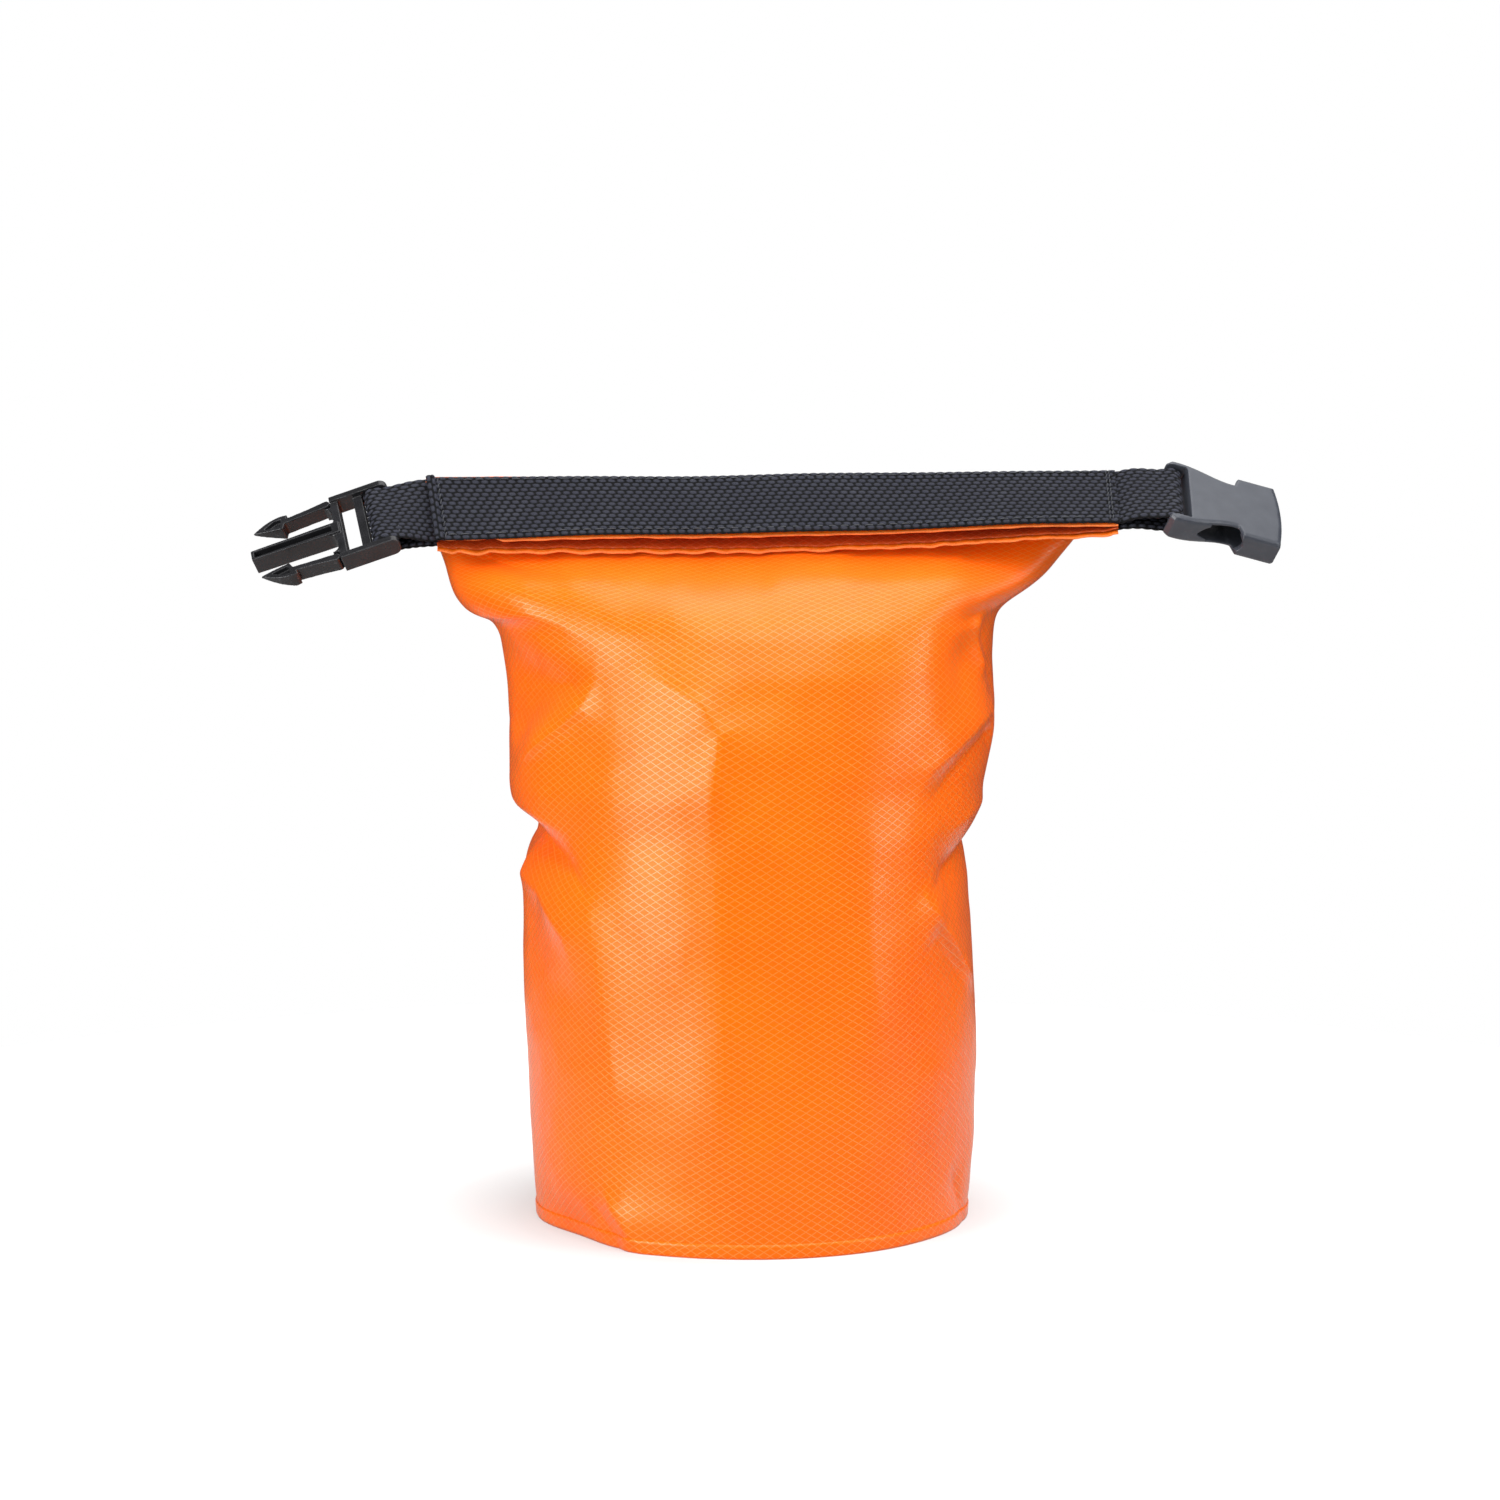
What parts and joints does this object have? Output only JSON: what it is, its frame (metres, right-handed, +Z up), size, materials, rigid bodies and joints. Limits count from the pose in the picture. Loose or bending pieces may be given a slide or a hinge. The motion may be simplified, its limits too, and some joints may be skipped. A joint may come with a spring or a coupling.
{
  "type": "dry bag",
  "caption": "Roll-top dry bag standing filled, mouth folded forward once, webbing band with an open side-release buckle half on a short tab at each end.",
  "frame": {"origin": "centre of the round base, on the surface that the bag stands on", "axes": "+Z up, +X along the mouth from the plug to the socket, -Y towards the side that the mouth folds down on"},
  "size_m": [0.3394, 0.147, 0.2528],
  "materials": {
    "coated_fabric": "satin coated diamond ripstop",
    "webbing": "coarse basket-woven webbing",
    "stiffener": "flat flexible strip",
    "thread": "bonded sewing thread",
    "plug_plastic": "gloss moulded acetal",
    "socket_plastic": "satin moulded acetal"
  },
  "bodies": {
    "bag": {"body_wall": "coated_fabric", "base_disc": "coated_fabric", "base_weld_band": "coated_fabric", "back_seam_tape": "coated_fabric", "fold_fabric": "coated_fabric"},
    "rolltop": {"front_lip": "coated_fabric", "back_lip": "coated_fabric", "stiffener_strip": "stiffener", "roll_webbing": "webbing", "left_end_hem": "webbing", "upper_stitch_row": "thread", "lower_stitch_row": "thread", "left_end_stitches": "thread", "right_end_stitches": "thread"},
    "left_tab": {"left_tab_webbing": "webbing", "left_tab_stitches": "thread"},
    "right_tab": {"right_tab_webbing": "webbing", "right_tab_stitches": "thread"},
    "plug": {"plug_frame": "plug_plastic"},
    "upper_latch": {"plug_upper_latch": "plug_plastic"},
    "lower_latch": {"plug_lower_latch": "plug_plastic"},
    "socket": {"socket_shell": "socket_plastic"}
  },
  "joints": [
    {"name": "mouth_unroll", "type": "hinge", "parent": "bag", "child": "rolltop", "pos_m": [0, -0.0028, 0.2427], "axis": [-1, 0, 0], "range_deg": [0, 143], "deforming": ["fold_fabric"]},
    {"name": "left_tab_bend", "type": "hinge", "parent": "rolltop", "child": "left_tab", "pos_m": [-0.11203, -0.01295, 0.2341], "axis": [0.2149, -0.75, -0.6256], "range_deg": [-60, 60]},
    {"name": "plug_swivel", "type": "hinge", "parent": "left_tab", "child": "plug", "pos_m": [-0.1218, -0.0155, 0.2338], "axis": [0.2149, -0.75, -0.6256], "range_deg": [-60, 60]},
    {"name": "upper_latch_press", "type": "hinge", "parent": "plug", "child": "upper_latch", "pos_m": [-0.13986, -0.0056, 0.23683], "axis": [-0.2437, -0.6614, 0.7093], "range_deg": [0, 7], "stiffness_Nm_per_rad": 0.06},
    {"name": "lower_latch_press", "type": "hinge", "parent": "plug", "child": "lower_latch", "pos_m": [-0.13419, -0.0254, 0.22031], "axis": [0.2437, 0.6614, -0.7093], "range_deg": [0, 7], "stiffness_Nm_per_rad": 0.06},
    {"name": "right_tab_bend", "type": "hinge", "parent": "rolltop", "child": "right_tab", "pos_m": [0.12287, -0.01153, 0.23809], "axis": [0.0316, 0.7937, 0.6075], "range_deg": [-60, 60]},
    {"name": "socket_swivel", "type": "hinge", "parent": "right_tab", "child": "socket", "pos_m": [0.1386, -0.014, 0.2405], "axis": [0.0316, 0.7937, 0.6075], "range_deg": [-60, 60]}
  ]
}
